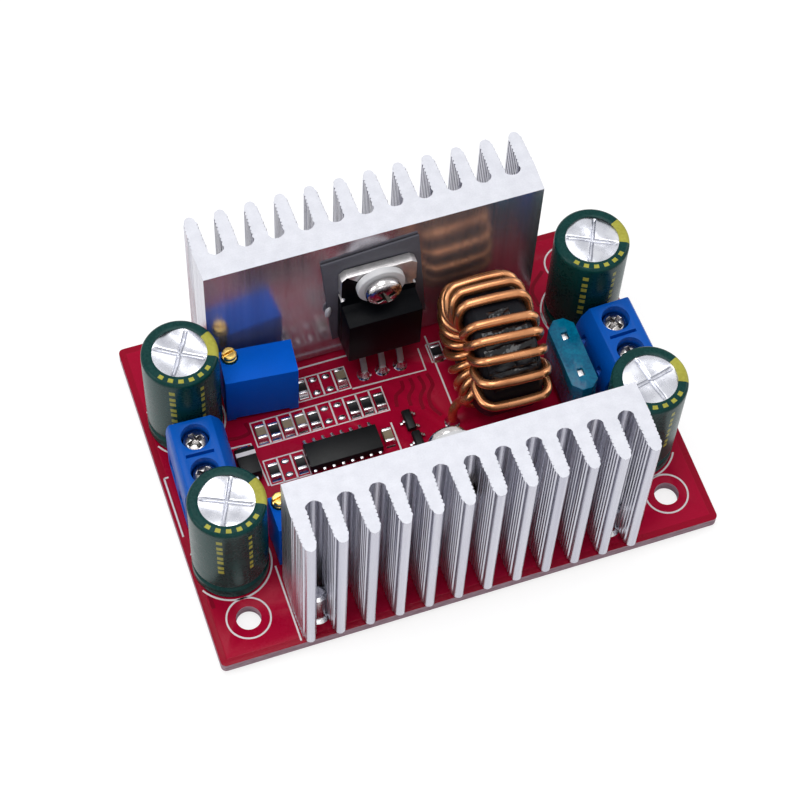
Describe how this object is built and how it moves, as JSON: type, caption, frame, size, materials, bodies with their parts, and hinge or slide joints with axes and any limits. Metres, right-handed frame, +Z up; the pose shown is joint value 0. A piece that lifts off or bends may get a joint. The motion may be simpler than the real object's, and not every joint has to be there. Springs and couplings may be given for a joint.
{
  "type": "boost converter module",
  "caption": "Step-up converter board with two finned heatsinks, four can capacitors, a wound toroid, two screw terminal blocks, two trimmers and a blade fuse.",
  "frame": {"origin": "under the middle of the board, at the level of the soldered leads' tips, on which the module stands", "axes": "+X along the board's long side from the left terminal block to the right one, +Y towards the rear heatsink, +Z up"},
  "size_m": [0.067, 0.0488, 0.029],
  "materials": {
    "board_red": "gloss",
    "heatsink_aluminium": "satin",
    "black_moulding": "matte",
    "grey_silicone": "matte",
    "white_nylon": "satin",
    "plated_steel": "satin",
    "can_aluminium": "satin",
    "sleeve_green": "gloss",
    "terminal_blue": "satin",
    "trimmer_blue": "satin",
    "brass": "satin",
    "tin": "satin",
    "core_black": "satin",
    "copper_enamel": "gloss",
    "fuse_teal": "gloss",
    "chip_ceramic": "satin"
  },
  "bodies": {
    "root": {"board": "board_red", "heatsink_rear": "heatsink_aluminium", "heatsink_front": "heatsink_aluminium", "insulating_pad_rear": "grey_silicone", "insulating_pad_front": "grey_silicone", "transistor_rear": "black_moulding", "transistor_front": "black_moulding", "bushing_rear": "white_nylon", "bushing_front": "white_nylon", "clamp_screw_rear": "plated_steel", "clamp_screw_front": "plated_steel", "capacitor_can_rear_left": "can_aluminium", "capacitor_can_rear_right": "can_aluminium", "capacitor_can_front_left": "can_aluminium", "capacitor_can_front_right": "can_aluminium", "capacitor_sleeve_rear_left": "sleeve_green", "capacitor_sleeve_rear_right": "sleeve_green", "capacitor_sleeve_front_left": "sleeve_green", "capacitor_sleeve_front_right": "sleeve_green", "terminal_housing_left": "terminal_blue", "terminal_housing_right": "terminal_blue", "terminal_contact_left_rear": "tin", "terminal_contact_left_front": "tin", "terminal_contact_right_rear": "tin", "terminal_contact_right_front": "tin", "trimmer_body_rear": "trimmer_blue", "trimmer_body_front": "trimmer_blue", "inductor_core": "core_black", "inductor_winding": "copper_enamel", "fuse_body": "fuse_teal", "fuse_blades": "tin", "controller_chip": "black_moulding", "small_transistor_1": "black_moulding", "small_transistor_2": "black_moulding", "diode": "black_moulding", "resistor_rear_1": "black_moulding", "ceramic_rear_4": "chip_ceramic", "ceramic_middle_1": "chip_ceramic", "resistor_middle_2": "black_moulding", "ceramic_middle_3": "chip_ceramic", "ceramic_middle_4": "chip_ceramic", "resistor_middle_5": "black_moulding", "resistor_middle_8": "black_moulding", "resistor_middle_9": "black_moulding", "resistor_middle_10": "black_moulding", "resistor_front_1": "black_moulding", "resistor_front_3": "black_moulding", "ceramic_by_controller": "chip_ceramic", "resistor_by_inductor": "black_moulding"},
    "terminal_screw_left_rear": {"terminal_screw_left_rear": "plated_steel"},
    "terminal_screw_left_front": {"terminal_screw_left_front": "plated_steel"},
    "terminal_screw_right_rear": {"terminal_screw_right_rear": "plated_steel"},
    "terminal_screw_right_front": {"terminal_screw_right_front": "plated_steel"},
    "terminal_clamp_left_rear": {"terminal_clamp_left_rear": "plated_steel"},
    "terminal_clamp_left_front": {"terminal_clamp_left_front": "plated_steel"},
    "terminal_clamp_right_rear": {"terminal_clamp_right_rear": "plated_steel"},
    "terminal_clamp_right_front": {"terminal_clamp_right_front": "plated_steel"},
    "trimmer_screw_rear": {"trimmer_screw_rear": "brass"},
    "trimmer_screw_front": {"trimmer_screw_front": "brass"}
  },
  "joints": [
    {"name": "screw_left_rear_turn", "type": "hinge", "parent": "root", "child": "terminal_screw_left_rear", "pos_m": [-0.02856, 0.003, 0.009], "axis": [0, 0, -1], "range_deg": [0, 1584]},
    {"name": "screw_left_front_turn", "type": "hinge", "parent": "root", "child": "terminal_screw_left_front", "pos_m": [-0.02874, -0.002, 0.009], "axis": [0, 0, -1], "range_deg": [0, 1584]},
    {"name": "screw_right_rear_turn", "type": "hinge", "parent": "root", "child": "terminal_screw_right_rear", "pos_m": [0.02856, 0.003, 0.009], "axis": [0, 0, -1], "range_deg": [0, 1584]},
    {"name": "screw_right_front_turn", "type": "hinge", "parent": "root", "child": "terminal_screw_right_front", "pos_m": [0.02874, -0.002, 0.009], "axis": [0, 0, -1], "range_deg": [0, 1584]},
    {"name": "clamp_left_rear_rise", "type": "slide", "parent": "root", "child": "terminal_clamp_left_rear", "axis": [0, 0, 1], "range_m": [0, 0.0022]},
    {"name": "clamp_left_front_rise", "type": "slide", "parent": "root", "child": "terminal_clamp_left_front", "axis": [0, 0, 1], "range_m": [0, 0.0022]},
    {"name": "clamp_right_rear_rise", "type": "slide", "parent": "root", "child": "terminal_clamp_right_rear", "axis": [0, 0, 1], "range_m": [0, 0.0022]},
    {"name": "clamp_right_front_rise", "type": "slide", "parent": "root", "child": "terminal_clamp_right_front", "axis": [0, 0, 1], "range_m": [0, 0.0022]},
    {"name": "trimmer_rear_turn", "type": "hinge", "parent": "root", "child": "trimmer_screw_rear", "pos_m": [-0.02108, 0.01276, 0.0115], "axis": [0, 0, -1], "continuous": true},
    {"name": "trimmer_front_turn", "type": "hinge", "parent": "root", "child": "trimmer_screw_front", "pos_m": [-0.02123, -0.00912, 0.0115], "axis": [0, 0, -1], "continuous": true}
  ],
  "couplings": [
    {"joint": "screw_left_rear_turn", "follows": "clamp_left_rear_rise", "rad_per_m": 12566},
    {"joint": "screw_left_front_turn", "follows": "clamp_left_front_rise", "rad_per_m": 12566},
    {"joint": "screw_right_rear_turn", "follows": "clamp_right_rear_rise", "rad_per_m": 12566},
    {"joint": "screw_right_front_turn", "follows": "clamp_right_front_rise", "rad_per_m": 12566}
  ]
}
